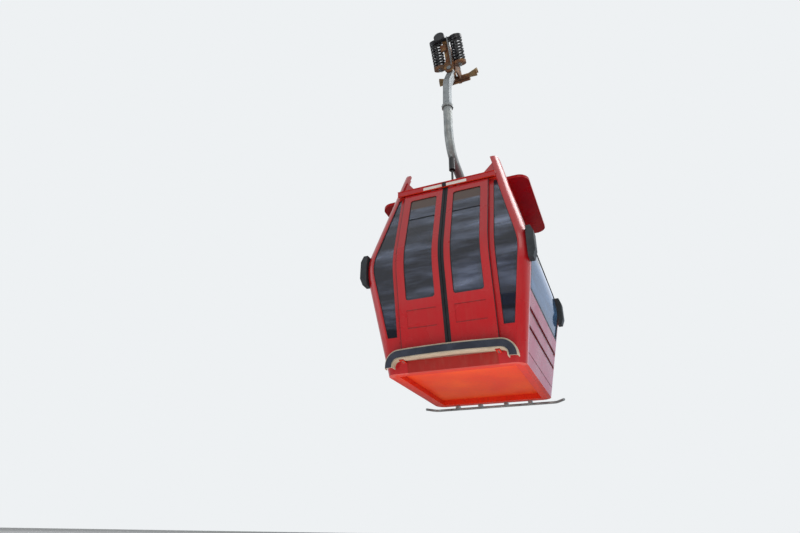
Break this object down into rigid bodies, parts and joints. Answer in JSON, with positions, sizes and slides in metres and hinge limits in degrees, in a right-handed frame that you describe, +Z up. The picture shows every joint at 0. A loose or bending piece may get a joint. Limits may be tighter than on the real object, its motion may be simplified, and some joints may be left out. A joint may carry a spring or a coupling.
{
  "type": "cable car cabin",
  "caption": "Closed cable car cabin with sliding door leaves, hung by a bent hanger arm from a spring grip that clamps the rope.",
  "frame": {"origin": "centre of the rope in the jaws of the grip, straight above the middle of the cabin", "axes": "+X along the rope, +Y from the door side to the rear, +Z up"},
  "size_m": [1.772, 2.003, 4.5787],
  "materials": {
    "red_paint": "gloss",
    "dark_rubber": "matte",
    "tinted_glass": "gloss",
    "galvanised": "matte",
    "bumper_metal": "satin",
    "grip_metal": "matte",
    "spring_steel": "satin",
    "black_parts": "satin",
    "white_label": "matte",
    "bench_plastic": "matte",
    "floor_metal": "matte"
  },
  "bodies": {
    "grip": {"grip_body": "grip_metal", "jaw_lever": "grip_metal", "lever_pin": "galvanised", "spring_rods": "galvanised", "springs": "spring_steel", "rope_shoes": "galvanised", "pivot_pin": "galvanised", "spring_seat": "grip_metal", "spring_yoke": "grip_metal", "lever_roller": "grip_metal"},
    "cabin": {"benches": "bench_plastic", "buffers": "dark_rubber", "bumper_brackets": "red_paint", "bumper_rail": "bumper_metal", "bumper_rubber": "dark_rubber", "damper": "black_parts", "door_rail": "red_paint", "door_sill": "red_paint", "end_panel_left": "red_paint", "end_panel_right": "red_paint", "end_window_glass": "tinted_glass", "end_window_seals": "dark_rubber", "floor_frame": "red_paint", "floor_pan": "floor_metal", "foot_pins": "galvanised", "guide_rail": "galvanised", "hanger_arm": "galvanised", "hanger_foot": "galvanised", "hanger_tube": "galvanised", "header_beams": "red_paint", "header_labels": "white_label", "hoods": "red_paint", "post_front_left": "red_paint", "post_front_right": "red_paint", "post_rear_left": "red_paint", "post_rear_right": "red_paint", "quarter_glass": "tinted_glass", "rear_glass": "tinted_glass", "rear_wall": "red_paint", "roof": "red_paint", "roof_frame": "galvanised", "roof_gussets": "red_paint", "side_panel_left": "red_paint", "side_panel_right": "red_paint", "sill_guide": "galvanised"},
    "door_right": {"door_glass_right": "tinted_glass", "door_hangers_right": "galvanised", "door_leaf_right": "red_paint", "door_seal_right": "dark_rubber"},
    "door_left": {"door_glass_left": "tinted_glass", "door_hangers_left": "galvanised", "door_leaf_left": "red_paint", "door_seal_left": "dark_rubber"}
  },
  "joints": [
    {"name": "hanger_swing", "type": "hinge", "parent": "grip", "child": "cabin", "pos_m": [0, -0.43, -0.27], "axis": [0, 1, 0], "range_deg": [-30, 30]},
    {"name": "door_right_slide", "type": "slide", "parent": "cabin", "child": "door_right", "axis": [1, 0, 0], "range_m": [0, 0.37]},
    {"name": "door_left_slide", "type": "slide", "parent": "cabin", "child": "door_left", "axis": [-1, 0, 0], "range_m": [0, 0.37]}
  ],
  "couplings": [
    {"joint": "door_left_slide", "follows": "door_right_slide", "ratio": 1}
  ]
}
